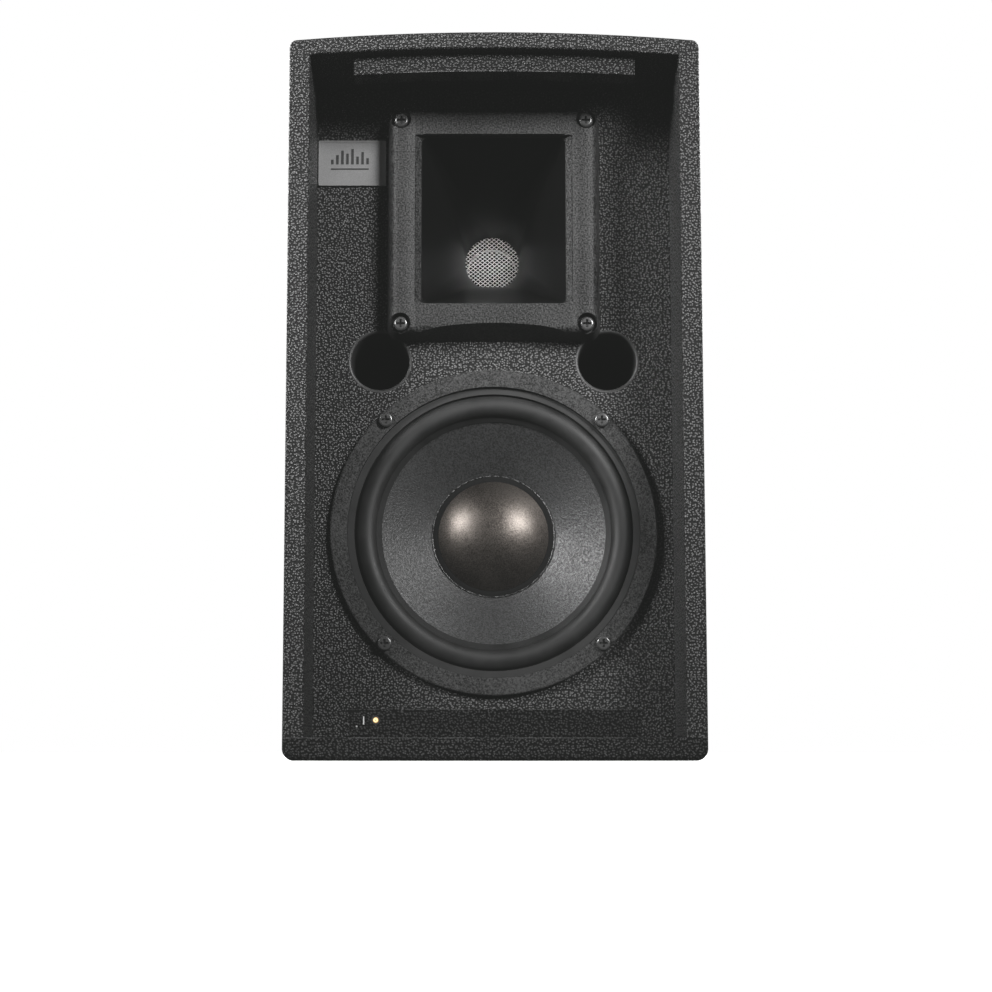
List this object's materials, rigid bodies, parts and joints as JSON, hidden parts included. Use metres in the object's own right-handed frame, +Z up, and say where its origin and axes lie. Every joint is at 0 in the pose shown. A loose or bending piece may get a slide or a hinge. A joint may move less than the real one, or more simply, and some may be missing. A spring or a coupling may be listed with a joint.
{
  "type": "stage loudspeaker",
  "caption": "Compact two-way stage speaker: bowed black box, recessed baffle, round woofer, square horn, reflex ports, pole socket below and amplifier plate behind.",
  "frame": {"origin": "middle of the underside, on the pole socket's axis, halfway across the width and depth", "axes": "+X to the right seen from the front, +Y to the back, so the front faces -Y, +Z up"},
  "size_m": [0.25, 0.252, 0.438],
  "materials": {
    "coated_plywood": "pebbled matte black coating over plywood",
    "bare_wood": "plain softwood",
    "damping_foam": "open-cell foam",
    "painted_steel": "fine-textured matte black",
    "zinc_steel": "clear zinc",
    "black_steel": "glossy black finish on steel",
    "ferrite": "ground ferrite",
    "surround_rubber": "satin rubber",
    "cone_paper": "coated pressed paper",
    "dust_cap_metal": "satin dark bronze grey",
    "spider_cloth": "resin-treated cloth",
    "coil_former_foil": "thin foil",
    "copper_wire": "enamelled wire",
    "horn_plastic": "fine-grain matte moulding",
    "black_plastic": "matte black moulding",
    "woven_steel_mesh": "bright woven wire",
    "heatsink_aluminium": "black anodised",
    "latch_metal": "plain nickel",
    "circuit_board": "solder mask",
    "capacitor_sleeve": "shrink sleeve",
    "winding_tape": "wound polyester tape",
    "lead_sheath": "smooth sheath",
    "led_lens": "amber lens",
    "badge_face": "satin grey plate"
  },
  "bodies": {
    "cabinet": {"top_panel": "coated_plywood", "bottom_panel": "coated_plywood", "left_side_panel": "coated_plywood", "right_side_panel": "coated_plywood", "back_panel": "coated_plywood", "front_baffle": "coated_plywood", "top_grille_rail": "coated_plywood", "bottom_grille_rail": "coated_plywood", "baffle_battens": "bare_wood", "side_foam_liners": "damping_foam", "woofer_basket": "painted_steel", "amp_panel": "painted_steel", "pole_socket": "painted_steel", "woofer_top_plate": "zinc_steel", "woofer_yoke": "zinc_steel", "driver_front_plate": "zinc_steel", "driver_gap_plate": "zinc_steel", "driver_bolts": "zinc_steel", "yoke_inserts": "zinc_steel", "woofer_screws": "black_steel", "horn_screws": "black_steel", "amp_panel_screws": "black_steel", "pole_socket_screws": "black_steel", "woofer_magnet": "ferrite", "driver_magnet": "ferrite", "woofer_surround": "surround_rubber", "woofer_gasket": "surround_rubber", "horn_gasket": "surround_rubber", "woofer_spider": "spider_cloth", "horn_flare": "horn_plastic", "left_port_tube": "black_plastic", "right_port_tube": "black_plastic", "led_bezel": "black_plastic", "woofer_terminals": "black_plastic", "phase_plug": "black_plastic", "driver_rear_cover": "black_plastic", "input_socket": "black_plastic", "input_contacts_block": "black_plastic", "link_socket": "black_plastic", "level_pot": "black_plastic", "power_switch_housing": "black_plastic", "mains_inlet": "black_plastic", "throat_screen": "woven_steel_mesh", "amp_heatsink": "heatsink_aluminium", "amp_circuit_board": "circuit_board", "amp_capacitors": "capacitor_sleeve", "power_transformer": "winding_tape", "woofer_lead": "lead_sheath", "driver_lead": "lead_sheath", "status_led": "led_lens", "badge_plate": "badge_face"},
    "woofer_cone_unit": {"woofer_cone": "cone_paper", "dust_cap": "dust_cap_metal", "voice_coil_former": "coil_former_foil", "voice_coil_winding": "copper_wire"},
    "driver_dome": {"driver_diaphragm": "coil_former_foil"},
    "input_latch": {"input_latch_button": "latch_metal"},
    "level_knob_body": {"level_knob": "black_plastic"},
    "power_rocker_body": {"power_rocker": "black_plastic"},
    "fuse_drawer_body": {"fuse_drawer": "black_plastic"}
  },
  "joints": [
    {"name": "woofer_cone_travel", "type": "slide", "parent": "cabinet", "child": "woofer_cone_unit", "axis": [0, -1, 0], "range_m": [-0.005, 0.005], "stiffness_N_per_m": 1500, "deforming": ["woofer_surround", "woofer_spider"]},
    {"name": "driver_dome_travel", "type": "slide", "parent": "cabinet", "child": "driver_dome", "axis": [0, -1, 0], "range_m": [-0.00025, 0.00025], "stiffness_N_per_m": 500},
    {"name": "input_latch_press", "type": "slide", "parent": "cabinet", "child": "input_latch", "axis": [0, -1, 0], "range_m": [0, 0.0018], "stiffness_N_per_m": 300},
    {"name": "level_knob_turn", "type": "hinge", "parent": "cabinet", "child": "level_knob_body", "pos_m": [0.044, 0.12, 0.245], "axis": [0, 1, 0], "range_deg": [-150, 150]},
    {"name": "power_rocker_tip", "type": "hinge", "parent": "cabinet", "child": "power_rocker_body", "pos_m": [0.044, 0.112, 0.088], "axis": [1, 0, 0], "range_deg": [-12, 0]},
    {"name": "fuse_drawer_slide", "type": "slide", "parent": "cabinet", "child": "fuse_drawer_body", "axis": [0, 1, 0], "range_m": [0, 0.015]}
  ]
}
